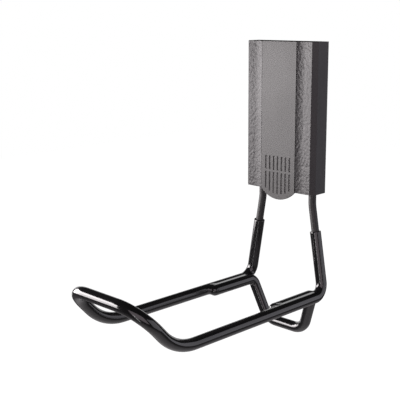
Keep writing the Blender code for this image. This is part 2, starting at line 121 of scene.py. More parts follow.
# Centre strip
STRIP_FRONT = -26.6 * MM
STRIP_BACK = SEAT_Y - GAP
TONGUE_DROP = 12.0 * MM
TONGUE_SIDES = 160                  # of the whole circle that the tongue is a part of
GROOVE_DEPTH = 0.8 * MM
GROOVE_HALF_WIDTH = 1.3 * MM
GROOVE_PITCH = 6.2 * MM
GROOVES_PER_ROW = 7
GROOVE_TOP = -48.5 * MM
GROOVE_SPLIT = -67.5 * MM
GROOVE_MARGIN = 7.0 * MM
GROOVE_RIM = 0.18 * MM
GROOVE_RINGS = 6                    # steps round a quarter of a groove's end
RIM_ANGLE = math.radians(20)        # the front's edges that turn more than this are rounded
FLAT = math.radians(0.1)
BOSS_RADIUS = 2.9 * MM
BOSS_ROOT = 0.5 * MM                # how deep a boss stands in the strip
BOSS_END = -22.2 * MM
BOSS_EDGE = 0.4 * MM
BOSS_BORE = 1.5 * MM
BOSS_X = 18.0 * MM
BOSS_HEIGHTS = (-36 * MM, 66 * MM)

# Wall plate, welds, clips and rivets
PLATE_THICKNESS = 2.0 * MM
PLATE_CORNER = 6.0 * MM
PLATE_EDGE = 0.3 * MM
SCREW_HOLE_HEIGHTS = (-70 * MM, -22 * MM, 22 * MM, 70 * MM)
SCREW_HOLE_RADIUS = 3.0 * MM
COUNTERSINK_RADIUS = 5.2 * MM
COUNTERSINK_START = 0.15            # as a part of the plate's thickness, from the wall side
LUG_THICKNESS = 1.8 * MM
LUG_DEPTH = 18.0 * MM
LUG_HALF_HEIGHT = 10.0 * MM
LUG_HEIGHT = 62.0 * MM
WELD_RADIUS = 1.1 * MM
WELD_HALF_LENGTH = 11.5 * MM
WELD_RIPPLES = 13
WELD_END = 0.4                      # width of a bead's end, as a part of its radius
WELD_RIPPLE = ((0.2, 0.93), (0.5, 1.05), (0.85, 0.96), (0.98, 0.82))   # along a ripple, and width
CLIP_THICKNESS = 0.6 * MM
CLIP_HALF_HEIGHT = 6.0 * MM
CLIP_EDGE = 0.12 * MM
CLIP_FOLD = (                       # out from the lug's side and depth, from the riveted end
    (0, -11.5 * MM),
    (0, -17.2 * MM),
    (0.5 * MM, -18.2 * MM),
    (1.5 * MM, -18.5 * MM),
    (2.3 * MM, -17.6 * MM),
    (3.1 * MM, -10.0 * MM),
    (2.8 * MM, -7.5 * MM),
    (1.8 * MM, -5.0 * MM),
)
RIVET_Y = -14.5 * MM
RIVET_RADIUS = 1.5 * MM
RIVET_HEAD_RADIUS = 2.4 * MM
RIVET_HEAD = 0.9 * MM
RIVET_DOME = ((0.0, 0.35), (0.12, 0.62), (0.35, 0.83), (0.65, 0.96), (1.0, 1.0))   # down it, width

# Strip screws
SCREW_HEAD = 2.0 * MM
SCREW_HEAD_RADIUS = 4.2 * MM
SCREW_HEAD_EDGE = 0.12 * MM
SCREW_DOME = ((0.35, 1.0), (0.65, 0.93), (0.88, 0.78), (1.0, 0.55))    # up the head, and width
SCREW_SHANK_RADIUS = 1.25 * MM
SCREW_TIP = -25.0 * MM
SCREW_POINT = 0.8 * MM
SCREW_POINT_WIDTH = 0.6             # as a part of the shank's
RECESS_HALF_LENGTH = 2.1 * MM
RECESS_HALF_WIDTH = 0.45 * MM
RECESS_DEPTH = 1.2 * MM


# ---- hand tools ---------------------------------------------------------------------------


def begin():
    """Deselects everything, so that the next tool acts on its own piece only."""
    bpy.ops.object.select_all(action="DESELECT")


def only(piece):
    begin()
    piece.select_set(True)
    bpy.context.view_layer.objects.active = piece


def open_piece():
    bpy.ops.object.mode_set(mode="EDIT")
    return bpy.context.object


def close_piece():
    bpy.ops.object.mode_set(mode="OBJECT")


def centre_of(element, kind):
    if kind == "VERT":
        return element.co
    if kind == "EDGE":
        return (element.verts[0].co + element.verts[1].co) / 2
    return element.calc_center_median()


def pick(kind, test):
    """Selects the open piece's points, edges or faces for which test(centre, element) holds."""
    bpy.ops.mesh.select_mode(type=kind)
    bpy.ops.mesh.select_all(action="DESELECT")
    shape = bmesh.from_edit_mesh(bpy.context.object.data)
    elements = {"VERT": shape.verts, "EDGE": shape.edges, "FACE": shape.faces}[kind]
    for element in elements:
        element.select_set(bool(test(centre_of(element, kind), element)))
    shape.select_flush_mode()
    bmesh.update_edit_mesh(bpy.context.object.data)


def pull(offset):
    """Draws the selection out into new faces."""
    bpy.ops.mesh.extrude_region_move(TRANSFORM_OT_translate={"value": offset})


def pull_along(corners):
    """Draws the selection out from the first corner through all the others."""
    for before, corner in zip(corners, corners[1:]):
        pull(corner - before)


def cut_across(point, normal):
    bpy.ops.mesh.select_all(action="SELECT")
    bpy.ops.mesh.bisect(plane_co=point, plane_no=normal)


def face_out():
    bpy.ops.mesh.select_all(action="SELECT")
    bpy.ops.mesh.remove_doubles(threshold=MERGE)
    bpy.ops.mesh.normals_make_consistent(inside=False)


def add_modifier(piece, kind, **settings):
    """Adds a modifier and applies it at once."""
    only(piece)
    modifier = piece.modifiers.new(kind.lower(), kind)
    for name, value in settings.items():
        setattr(modifier, name, value)
    bpy.ops.object.modifier_apply(modifier=modifier.name)


def cut_with(piece, tools, operation="DIFFERENCE"):
    """Cuts the tools out of the piece, or adds them to it, and removes them."""
    for tool in tools:
        add_modifier(piece, "BOOLEAN", object=tool, operation=operation, solver="EXACT")
        bpy.data.objects.remove(tool)


def join_to(piece, others):
    """Makes the others a part of the piece."""
    only(piece)
    for other in others:
        other.select_set(True)
    bpy.ops.object.join()


def soften(piece, width, segments=2, angle=35):
    """Rounds the edges that are sharper than the angle."""
    add_modifier(piece, "BEVEL", width=width, segments=segments, limit_method="ANGLE",
                 angle_limit=math.radians(angle), harden_normals=False)


def box_piece(low, high):
    """A block from its lowest corner to its highest."""
    begin()
    low = Vector(low)
    high = Vector(high)
    bpy.ops.mesh.primitive_cube_add(size=1, location=(low + high) / 2)
    piece = bpy.context.object
    piece.scale = high - low
    bpy.ops.object.transform_apply(location=True, rotation=True, scale=True)
    return piece


def upright_sheet(centre, height, depth):
    """A flat sheet that faces sideways, to be drawn on from one of its edges."""
    begin()
    bpy.ops.mesh.primitive_plane_add(size=1, location=centre, rotation=(0, QUARTER_TURN, 0))
    sheet = bpy.context.object
    sheet.scale = (height, depth, 1)
    bpy.ops.object.transform_apply(location=True, rotation=True, scale=True)
    return sheet


def turned_piece(profile, centre, direction, sides=32):
    """A round part: rings of (distance along direction, radius), closed at both ends."""
    begin()
    direction = Vector(direction)
    start, radius = profile[0]
    place = Vector(centre) + direction * start
    turn = direction.to_track_quat("Z", "Y").to_euler()
    bpy.ops.mesh.primitive_circle_add(vertices=sides, radius=radius, location=place, rotation=turn)
    bpy.ops.object.transform_apply(location=True, rotation=True, scale=True)
    piece = open_piece()
    for distance, next_radius in profile[1:]:
        pull(direction * (distance - start))
        place = Vector(centre) + direction * distance
        bpy.ops.transform.resize(value=(next_radius / radius,) * 3, center_override=place)
        start, radius = distance, next_radius
    bpy.ops.mesh.select_all(action="SELECT")
    bpy.ops.mesh.fill_holes(sides=0)
    face_out()
    close_piece()
    return piece


def copy_of(piece, change):
    """A copy with a mesh of its own, moved or mirrored by a matrix."""
    copied = piece.copy()
    copied.data = piece.data.copy()
    bpy.context.scene.collection.objects.link(copied)
    copied.data.transform(change)
    if change.determinant() < 0:
        copied.data.flip_normals()
    return copied


def hand_over(piece, name, finish, body, *nodes, angle=32):
    """Names the piece, gives it its finish and puts it in the place of its CAD nodes."""
    only(piece)
    bpy.ops.object.transform_apply(location=True, rotation=True, scale=True)
    bpy.ops.object.shade_smooth_by_angle(angle=math.radians(angle))
    add_modifier(piece, "WEIGHTED_NORMAL", keep_sharp=True, weight=100)
    piece.name = name
    piece.data.name = name
    piece.data.materials.clear()
    piece.data.materials.append(finishes[finish])
    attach(piece, body)
    if nodes:
        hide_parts(*nodes)


# ---- finishes -----------------------------------------------------------------------------

DUST_COLOUR = (0.33, 0.32, 0.31)
DUST_DULLS = 0.4                    # roughness that full dust adds
COAT_ROUGHNESS = 0.1
SHARP_EDGE = (0.985, 0.86)          # cosine between the normals where wear starts and is full
WEAR_PATCHES = (0.35, 0.62)         # noise levels where wear starts and is full
GRAIN_PATCHES = (0.3, 0.7)          # noise levels at the two ends of a patch
COARSE_GRAIN = 0.23                 # the coarse grain's scale, as a part of the fine one's
COARSE_SHARE = 0.6                  # and its height
DUST_SLOPE = (0.2, 1.0)             # how far up a face looks where dust starts and is full
DUST_SPECKS = (0.45, 0.7)


def new_group(name, inputs, outputs):
    """A shader node group with the named number inputs and outputs."""
    group = bpy.data.node_groups.new(name, "ShaderNodeTree")
    for label, value in inputs:
        socket = group.interface.new_socket(name=label, in_out="INPUT", socket_type="NodeSocketFloat")
        socket.default_value = value
    for label in outputs:
        group.interface.new_socket(name=label, in_out="OUTPUT", socket_type="NodeSocketFloat")
    return group, group.nodes.new("NodeGroupInput"), group.nodes.new("NodeGroupOutput")


def add_math(tree, operation, first, second=None, third=None, clamp=False):
    """A math node; each value is a number or another node's output."""
    node = tree.nodes.new("ShaderNodeMath")
    node.operation = operation
    node.use_clamp = clamp
    for socket, value in zip(node.inputs, (first, second, third)):
        if isinstance(value, (int, float)):
            socket.default_value = value
        elif value is not None:
            tree.links.new(value, socket)
    return node.outputs[0]


def add_noise(tree, place, scale, detail, roughness=0.55):
    """A noise texture; its scale is a number or another node's output."""
    node = tree.nodes.new("ShaderNodeTexNoise")
    tree.links.new(place, node.inputs["Vector"])
    if isinstance(scale, (int, float)):
        node.inputs["Scale"].default_value = scale
    else:
        tree.links.new(scale, node.inputs["Scale"])
    node.inputs["Detail"].default_value = detail
    node.inputs["Roughness"].default_value = roughness
    return node.outputs["Fac"]


def object_place(tree):
    return tree.nodes.new("ShaderNodeTexCoord").outputs["Object"]


def add_range(tree, value, low, high, to_low=0.0, to_high=1.0):
    """Maps low..high onto to_low..to_high, held at the ends."""
    node = tree.nodes.new("ShaderNodeMapRange")
    tree.links.new(value, node.inputs["Value"])
    ends = (("From Min", low), ("From Max", high), ("To Min", to_low), ("To Max", to_high))
    for label, number in ends:
        node.inputs[label].default_value = number
    return node.outputs["Result"]


def edge_wear_group():
    """Mask of rubbed edges: where a rounded normal leaves the true one, broken up by noise."""
    inputs = (("Width", 0.4 * MM), ("Strength", 1.0))
    group, given, result = new_group("edge_wear", inputs, ("Mask",))
    rounded = group.nodes.new("ShaderNodeBevel")
    rounded.samples = 4
    group.links.new(given.outputs["Width"], rounded.inputs["Radius"])
    true = group.nodes.new("ShaderNodeNewGeometry")
    compare = group.nodes.new("ShaderNodeVectorMath")
    compare.operation = "DOT_PRODUCT"
    group.links.new(rounded.outputs["Normal"], compare.inputs[0])
    group.links.new(true.outputs["Normal"], compare.inputs[1])
    sharp = add_range(group, compare.outputs["Value"], *SHARP_EDGE)
    noise = add_noise(group, object_place(group), scale=260, detail=4)
    patches = add_range(group, noise, *WEAR_PATCHES)
    worn = add_math(group, "MULTIPLY", sharp, patches)
    mask = add_math(group, "MULTIPLY", worn, given.outputs["Strength"], clamp=True)
    group.links.new(mask, result.inputs["Mask"])
    return group


def grain_group():
    """Fine surface grain: a height for the bump and a slow patchiness for tint and gloss."""
    inputs = (("Scale", 900.0), ("Patch Scale", 18.0))
    group, given, result = new_group("grain", inputs, ("Height", "Patches"))
    place = object_place(group)
    fine = add_noise(group, place, given.outputs["Scale"], detail=3, roughness=0.6)
    coarse_scale = add_math(group, "MULTIPLY", given.outputs["Scale"], COARSE_GRAIN)
    coarse = add_noise(group, place, coarse_scale, detail=2)
    height = add_math(group, "MULTIPLY_ADD", coarse, COARSE_SHARE, fine)
    group.links.new(height, result.inputs["Height"])
    noise = add_noise(group, place, given.outputs["Patch Scale"], detail=5)
    patches = add_range(group, noise, *GRAIN_PATCHES)
    group.links.new(patches, result.inputs["Patches"])
    return group


def dust_group():
    """Fine dust that lies on faces that look up, thicker in patches."""
    group, given, result = new_group("dust", (("Amount", 0.2),), ("Mask",))
    looks = group.nodes.new("ShaderNodeNewGeometry")
    parts = group.nodes.new("ShaderNodeSeparateXYZ")
    group.links.new(looks.outputs["Normal"], parts.inputs[0])
    upward = add_range(group, parts.outputs["Z"], *DUST_SLOPE)
    noise = add_noise(group, object_place(group), scale=420, detail=6, roughness=0.7)
    specks = add_range(group, noise, *DUST_SPECKS)
    lying = add_math(group, "MULTIPLY", upward, specks)
    mask = add_math(group, "MULTIPLY", lying, given.outputs["Amount"], clamp=True)
    group.links.new(mask, result.inputs["Mask"])
    return group


def add_group(tree, group, **values):
    """Places a node group in a material, with its own values."""
    node = tree.nodes.new("ShaderNodeGroup")
    node.node_tree = group
    for label, value in values.items():
        node.inputs[label.replace("_", " ")].default_value = value
    return node


def mix_colours(tree, mask, first, second):
    """Colour that goes from first to second as the mask rises; each is a colour or an output."""
    node = tree.nodes.new("ShaderNodeMix")
    node.data_type = "RGBA"
    tree.links.new(mask, node.inputs["Factor"])
    for label, colour in (("A", first), ("B", second)):
        socket = [s for s in node.inputs if s.name == label and s.type == "RGBA"][0]
        if isinstance(colour, tuple):
            socket.default_value = (*colour, 1)
        else:
            tree.links.new(colour, socket)
    return [s for s in node.outputs if s.type == "RGBA"][0]


def make_finish(name, colour, shade, worn, gloss, metallic=0.0, grain=900.0, grain_depth=0.02 * MM,
                coat=0.0, shine=0.5, wear_width=0.35 * MM, wear=0.6, dust=0.15):
    """A finish: patchy colour, rubbed edges, dust, uneven gloss and a fine grain.

    Patches go from colour to shade, and gloss holds the roughness of each; worn is the colour
    of rubbed edges. grain is the grain's scale, coat the share of clear lacquer and shine the
    strength of the surface's own reflection.
    """
    made = bpy.data.materials.new(name)
    made.use_nodes = True
    tree = made.node_tree
    shader = tree.nodes["Principled BSDF"]
    shader.inputs["Metallic"].default_value = metallic
    shader.inputs["Coat Weight"].default_value = coat
    shader.inputs["Specular IOR Level"].default_value = shine
    shader.inputs["Coat Roughness"].default_value = COAT_ROUGHNESS
    surface = add_group(tree, groups["grain"], Scale=grain)
    edges = add_group(tree, groups["edge_wear"], Width=wear_width, Strength=wear)
    powder = add_group(tree, groups["dust"], Amount=dust)
    patches = surface.outputs["Patches"]
    tint = mix_colours(tree, patches, colour, shade)
    tint = mix_colours(tree, edges.outputs["Mask"], tint, worn)
    tint = mix_colours(tree, powder.outputs["Mask"], tint, DUST_COLOUR)
    tree.links.new(tint, shader.inputs["Base Color"])
    roughness = add_range(tree, patches, 0.0, 1.0, *gloss)
    dulled = add_math(tree, "MULTIPLY_ADD", powder.outputs["Mask"], DUST_DULLS, roughness, clamp=True)
    tree.links.new(dulled, shader.inputs["Roughness"])
    bump = tree.nodes.new("ShaderNodeBump")
    bump.inputs["Strength"].default_value = 1.0
    bump.inputs["Distance"].default_value = grain_depth
    tree.links.new(surface.outputs["Height"], bump.inputs["Height"])
    tree.links.new(bump.outputs["Normal"], shader.inputs["Normal"])
    return made


groups = {"edge_wear": edge_wear_group(), "grain": grain_group(), "dust": dust_group()}
finishes = {
    "rod_steel": make_finish(
        "rod_steel", (0.03, 0.029, 0.029), (0.04, 0.038, 0.038), (0.13, 0.128, 0.125), (0.34, 0.46),
        grain=1500.0, grain_depth=0.012 * MM),
    "coating_vinyl": make_finish(
        "coating_vinyl", (0.006, 0.006, 0.0065), (0.0085, 0.008, 0.009), (0.03, 0.03, 0.03), (0.11, 0.17),
        grain=240.0, grain_depth=0.006 * MM, coat=1.0, wear_width=0.25 * MM, wear=0.3, dust=0.012),
    "plate_steel": make_finish(
        "plate_steel", (0.05, 0.05, 0.052), (0.075, 0.074, 0.074), (0.28, 0.27, 0.26), (0.38, 0.55),
        metallic=0.4, grain=1300.0),
    "weld_steel": make_finish(
        "weld_steel", (0.05, 0.047, 0.045), (0.09, 0.078, 0.07), (0.25, 0.24, 0.23), (0.35, 0.6),
        metallic=0.8, grain=1600.0, grain_depth=0.03 * MM),
    "cover_plastic": make_finish(
        "cover_plastic", (0.05, 0.047, 0.049), (0.043, 0.041, 0.043), (0.12, 0.115, 0.115), (0.34, 0.4),
        grain=1500.0, grain_depth=0.012 * MM, wear=0.3, dust=0.04, shine=0.43),
    "strip_plastic": make_finish(
        "strip_plastic", (0.05, 0.048, 0.048), (0.045, 0.043, 0.043), (0.12, 0.117, 0.115), (0.36, 0.4),
        grain=1900.0, grain_depth=0.006 * MM, wear=0.35, dust=0.03, shine=0.43),
    "spring_steel": make_finish(
        "spring_steel", (0.4, 0.4, 0.41), (0.33, 0.33, 0.34), (0.6, 0.6, 0.6), (0.22, 0.36),
        metallic=1.0, grain=1700.0, grain_depth=0.01 * MM),
    "zinc_steel": make_finish(
        "zinc_steel", (0.58, 0.58, 0.56), (0.45, 0.45, 0.43), (0.7, 0.7, 0.68), (0.2, 0.38),
        metallic=1.0, grain=1500.0, grain_depth=0.015 * MM),
}


# ---- bars and coating ---------------------------------------------------------------------


def mirrored(point):
    return Vector((-point[0], point[1], point[2]))


def both_sides(half):
    """The corners of the right half, then the same ones on the left in the other order."""
    return half + [mirrored(point) for point in reversed(half)]


def arm_height(y):
    return ELBOW_HEIGHT + (LEG_Y - y) * ARM_SLOPE


def coat_edge():
    """Where a leg's centre line meets the coating's edge, and the way up the leg from there."""
    low = Vector((ARM_X, LEG_Y, ELBOW_HEIGHT))
    high = Vector((LEG_X, LEG_Y, SPLAY_HEIGHT))
    part = (COAT_TOP - low.z) / (high.z - low.z)
    return low.lerp(high, part), (high - low).normalized()


def hook_line(start_corners):
    """Corners and bends of the hook bar, whose legs come down through the start corners."""
    corners = both_sides(start_corners + [
        Vector((ARM_X, LEG_Y, ELBOW_HEIGHT)),
        Vector((ARM_X, FRONT_Y, FRONT_HEIGHT)),
        Vector((ARM_X, TIP_Y, TIP_HEIGHT)),
    ])
    bends = [SPLAY_BEND] * (len(start_corners) - 1) + [ELBOW_BEND, FRONT_BEND, TIP_BEND]
    return corners, bends + bends[::-1]


def brace_line(shorter=0.0):
    """Corners and bends of the brace; shorter draws in both of its ends."""
    front = BRACE_FRONT_Y + shorter
    corners = both_sides([
        Vector((BRACE_X, front, arm_height(front))),
        Vector((BRACE_X, BRACE_REAR_Y, arm_height(BRACE_REAR_Y))),
        Vector((BRACE_CORNER_X, LEG_Y, BRACE_BOTTOM)),
    ])
    bends = [BRACE_REAR_BEND, BRACE_CORNER_BEND]
    return corners, bends + bends[::-1]


def each_bend(corners, bends):
    """For each inner corner: where its bend starts and ends, its centre, axis and turn."""
    for before, corner, after, bend in zip(corners, corners[1:], corners[2:], bends):
        arrive = (corner - before).normalized()
        leave = (after - corner).normalized()
        turn = arrive.angle(leave)
        reach = bend * math.tan(turn / 2)
        start = corner - arrive * reach
        centre = start + (leave - arrive * arrive.dot(leave)).normalized() * bend
        yield start, corner + leave * reach, centre, arrive.cross(leave).normalized(), turn


def bent_bar(corners, bends, radius):
    """A round bar drawn straight through its corners and bent at each of them."""
    begin()
    along = (corners[1] - corners[0]).to_track_quat("Z", "Y").to_euler()
    bpy.ops.mesh.primitive_circle_add(vertices=BAR_SIDES, radius=radius, location=corners[0],
                                      rotation=along)
    bpy.ops.object.transform_apply(location=True, rotation=True, scale=True)
    bar = open_piece()
    place = corners[0]
    for start, end, centre, axis, turn in each_bend(corners, bends):
        pull(start - place)
        bpy.ops.mesh.spin(steps=math.ceil(turn / BEND_STEP), angle=-turn, center=centre, axis=axis)
        place = end
    pull(corners[-1] - place)
    bpy.ops.mesh.select_all(action="SELECT")
    bpy.ops.mesh.fill_holes(sides=0)
    face_out()
    close_piece()
    return bar


def centre_line(corners, bends):
    """Points along a bar's centre, close together in the bends."""
    points = [corners[0]]
    for start, _, centre, axis, turn in each_bend(corners, bends):
        count = math.ceil(turn / BEND_STEP)
        for step in range(count + 1):
            points.append(centre + Matrix.Rotation(turn * step / count, 3, axis) @ (start - centre))
    points.append(corners[-1])
    return np.array(points)


def from_line(places, line):
    """Distance from each place to the nearest point of a line, and the way out from it."""
    nearest = np.full(len(places), np.inf)
    outward = np.zeros_like(places)
    for start, end in zip(line, line[1:]):
        along = end - start
        part = np.clip((places - start) @ along / (along @ along), 0, 1)
        away = places - start - part[:, None] * along
        distance = np.linalg.norm(away, axis=1)
        closer = distance < nearest
        nearest[closer] = distance[closer]
        outward[closer] = away[closer]
    return nearest, outward / np.maximum(nearest, TINY)[:, None]


def blend_near(first, second, width):
    """The smaller of two (distance, way out) pairs, rounded where they meet."""
    a, way_a = first
    b, way_b = second
    closeness = np.maximum(width - np.abs(a - b), 0) / width
    share = np.where(a < b, closeness / 2, 1 - closeness / 2)[:, None]
    return np.minimum(a, b) - closeness ** 2 * width / 4, way_a * (1 - share) + way_b * share


def skin_height(places):
    """How far each place is outside the coating's skin, and the way out."""
    hook = from_line(places, centre_line(*hook_line([Vector((LEG_X, LEG_Y, SPLAY_HEIGHT))])))
    brace = from_line(places, centre_line(*brace_line(shorter=ROD_RADIUS)))
    height, way = blend_near((hook[0] - COAT_RADIUS, hook[1]),
                             (brace[0] - COAT_RADIUS, brace[1]), SKIN_BLEND)
    for lump, radius in coat_lumps():
        away = places - np.array(lump)
        distance = np.linalg.norm(away, axis=1)
        ball = (distance - radius, away / np.maximum(distance, TINY)[:, None])
        height, way = blend_near((height, way), ball, LUMP_BLEND)
    edge, up = coat_edge()
    side = np.sign(places[:, 0])
    over = (np.abs(places[:, 0]) - edge.x) * up.x + (places[:, 2] - edge.z) * up.z
    upward = np.stack([up.x * side, np.zeros(len(side)), np.full(len(side), up.z)], axis=1)
    inside, way = blend_near((-height, -way), (-over, -upward), LIP_BLEND)
    return -inside, -way


def coat_lumps():
    """Places and radii of the weld spots that the coating runs over at the brace's front ends."""
    lumps = []
    middle = (ARM_X + BRACE_X) / 2
    for side in (-1, 1):
        for y, rise, radius in COAT_LUMPS:
            lumps.append((Vector((middle * side, y, arm_height(y) + rise)), radius))
    return lumps


def make_rods():
    leg = [Vector((LEG_X, LEG_Y, LEG_TOP)), Vector((LEG_X, LEG_Y, SPLAY_HEIGHT))]
    hook = bent_bar(*hook_line(leg), ROD_RADIUS)
    soften(hook, BAR_END_EDGE, segments=3, angle=60)
    hand_over(hook, "bent_hook_bar", "rod_steel", "frame", "hook_rod")
    brace = bent_bar(*brace_line(), ROD_RADIUS)
    soften(brace, BAR_END_EDGE, segments=3, angle=60)
    hand_over(brace, "bent_brace_bar", "rod_steel", "frame", "brace_rod")


def make_coating():
    """One dip of vinyl over both bars, drawn smooth where the bars and welds lie together."""
    edge, _ = coat_edge()
    skin = bent_bar(*hook_line([edge]), COAT_RADIUS)
    brace = bent_bar(*brace_line(), COAT_RADIUS)
    join_to(skin, [brace])
    add_modifier(skin, "REMESH", mode="VOXEL", voxel_size=SKIN_VOXEL)
    places = np.empty(len(skin.data.vertices) * 3, np.float32)
    skin.data.vertices.foreach_get("co", places)
    places = places.reshape(-1, 3).astype(float)
    for _ in range(SKIN_STEPS):
        height, way = skin_height(places)
        slope = np.maximum((way ** 2).sum(axis=1), LEAST_SLOPE)
        places -= way * (height / slope)[:, None]
    skin.data.vertices.foreach_set("co", places.astype(np.float32).ravel())
    skin.data.update()
    hand_over(skin, "dipped_coating", "coating_vinyl", "frame", "vinyl_coating", angle=80)


# ---- cover --------------------------------------------------------------------------------


def flank_line():
    """From the wing's lowest line up the hollow flank to the strip's shoulder."""
    points = []
    width = VALLEY_HALF_WIDTH - SEAT_HALF_WIDTH
    height = VALLEY_Y - SHOULDER_Y
    for step in range(FLANK_STEPS):
        part = step / FLANK_STEPS
        points.append((VALLEY_HALF_WIDTH - width * part, VALLEY_Y - height * part ** 2))
    return points


def make_cover():
    """A moulded tub: its wall is drawn round half the outline, mirrored, and given its thickness."""
    low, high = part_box("front_cover")
    wall_line = [(CREASE_HALF_WIDTH, CREASE_Y), *flank_line(), (SEAT_HALF_WIDTH, SHOULDER_Y),
                 (SEAT_HALF_WIDTH, SEAT_Y), (0, SEAT_Y)]
    cover = upright_sheet((high.x, (high.y + CHAMFER_Y) / 2, 0), high.z - low.z, high.y - CHAMFER_Y)
    corners = [Vector((high.x, CHAMFER_Y, 0))] + [Vector((x, y, 0)) for x, y in wall_line]
    open_piece()
    pick("EDGE", lambda centre, edge: (centre - corners[0]).length < GAP)
    pull_along(corners)
    close_piece()
    add_modifier(cover, "MIRROR", use_axis=(True, False, False), merge_threshold=CLOSE)
    open_piece()
    for level in (low.z, high.z):
        pick("VERT", lambda centre, point: abs(centre.z - level) < GAP)
        bpy.ops.mesh.edge_face_add()
    face_out()
    close_piece()
    add_modifier(cover, "SOLIDIFY", thickness=COVER_WALL, offset=-1, use_even_offset=True)
    cut_with(cover, [leg_notch(side, low.z) for side in (-1, 1)])
    cut_with(cover, [boss_hole(side, height) for side in (-1, 1) for height in BOSS_HEIGHTS])
    detents = [detent(side, level, high.x) for side in (-1, 1) for level in (-1, 1)]
    cut_with(cover, detents, "UNION")
    soften(cover, COVER_EDGE, segments=3)
    raise_pebbles(cover, high.z)
    hand_over(cover, "moulded_cover", "cover_plastic", "cover", "front_cover")


def on_wing(centre, margin):
    """True on the front of a wing, further than margin from the strip's seat and the crease."""
    across = SEAT_HALF_WIDTH + margin < abs(centre.x) < CREASE_HALF_WIDTH - margin
    return across and centre.y < VALLEY_Y + COVER_EDGE


def raise_pebbles(cover, top):
    """Divides the wings into a fine net and raises the leather-like pebbles on it."""
    only(cover)
    open_piece()
    for longer_than, cuts in ((top, UPRIGHT_CUTS), (PEBBLE_SIZE / 2, HALVING_CUTS)):
        pick("EDGE", lambda centre, edge: on_wing(centre, -GAP) and
             abs(edge.verts[0].co.z - edge.verts[1].co.z) > longer_than)
        bpy.ops.mesh.subdivide(number_cuts=cuts)
    pick("EDGE", lambda centre, edge: on_wing(centre, 0) and
         abs(edge.verts[0].co.x - edge.verts[1].co.x) > PEBBLE_SIZE * 2)
    bpy.ops.mesh.subdivide(number_cuts=LEVEL_CUTS)
    pick("VERT", lambda centre, point: on_wing(centre, COVER_EDGE) and
         abs(centre.z) < top - COVER_EDGE * 2)
    bpy.ops.object.vertex_group_assign_new()
    close_piece()
    leather = bpy.data.textures.new("leather", "VORONOI")
    leather.noise_scale = PEBBLE_SIZE
    add_modifier(cover, "DISPLACE", texture=leather, texture_coords="LOCAL", direction="NORMAL",
                 vertex_group=cover.vertex_groups[0].name, mid_level=0.5, strength=-PEBBLE_HEIGHT)


def leg_notch(side, bottom):
    """A round-ended slot block that lets a leg through the cover's bottom wall."""
    reach = COVER_WALL * 2
    block = box_piece((LEG_X * side - LEG_NOTCH_RADIUS, LEG_Y, bottom - reach),
                      (LEG_X * side + LEG_NOTCH_RADIUS, LEG_NOTCH_RADIUS, bottom + reach))
    round_end = turned_piece(((-reach, LEG_NOTCH_RADIUS), (reach, LEG_NOTCH_RADIUS)),
                             (LEG_X * side, LEG_Y, bottom), (0, 0, 1))
    cut_with(block, [round_end], "UNION")
    return block


def boss_hole(side, height):
    """A plug for the hole that one of the strip's bosses goes through."""
    radius = BOSS_RADIUS + GAP
    return turned_piece(((SEAT_Y - COVER_WALL, radius), (SEAT_Y + COVER_WALL * 2, radius)),
                        (BOSS_X * side, 0, height), (0, 1, 0))


def detent(side, level, outside):
    """A low rib inside the cover that a spring clip catches behind."""
    near = (outside - COVER_WALL - DETENT_HEIGHT) * side
    far = (outside - COVER_WALL / 2) * side
    middle = LUG_HEIGHT * level
    return box_piece((min(near, far), DETENT_Y[0], middle - LUG_HALF_HEIGHT),
                     (max(near, far), DETENT_Y[1], middle + LUG_HALF_HEIGHT))


def tongue_radius(half_width):
    """Radius of the arc that drops by TONGUE_DROP in the middle of the strip's width."""
    return (half_width ** 2 + TONGUE_DROP ** 2) / (2 * TONGUE_DROP)


def make_strip():
    """The centre strip: a disc cut to the tongue, its straight edge drawn up to the cover's top."""
    low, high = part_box("centre_strip")
    bottom = low.z + TONGUE_DROP
    radius = tongue_radius(high.x)
    begin()
    bpy.ops.mesh.primitive_circle_add(vertices=TONGUE_SIDES, radius=radius, fill_type="NGON",
                                      location=(0, STRIP_BACK, low.z + radius),
                                      rotation=(QUARTER_TURN, 0, 0))
    strip = bpy.context.object
    bpy.ops.object.transform_apply(location=True, rotation=True, scale=True)
    open_piece()
    bpy.ops.mesh.select_all(action="SELECT")
    bpy.ops.mesh.bisect(plane_co=(0, 0, bottom), plane_no=(0, 0, 1), clear_outer=True)
    pick("EDGE", lambda centre, edge: abs(centre.z - bottom) < CLOSE)
    pull((0, 0, high.z - bottom))
    bpy.ops.mesh.select_all(action="SELECT")
    bpy.ops.mesh.dissolve_limited(angle_limit=FLAT)
    bpy.ops.mesh.select_all(action="SELECT")
    pull((0, STRIP_FRONT - STRIP_BACK, 0))
    face_out()
    close_piece()
    cut_with(strip, thumb_grooves(low.z, radius))
    open_piece()
    pick("EDGE", lambda centre, edge: front_rim(edge))
    bpy.ops.mesh.bevel(offset=GROOVE_RIM, segments=2)
    close_piece()
    add_bosses(strip)
    hand_over(strip, "thumb_strip", "strip_plastic", "cover", "centre_strip")


def front_rim(edge):
    """True for the edges that bound the strip's front face, round its outline and the grooves."""
    on_front = all(abs(point.co.y - STRIP_FRONT) < CLOSE for point in edge.verts)
    return on_front and edge.calc_face_angle(0) > RIM_ANGLE


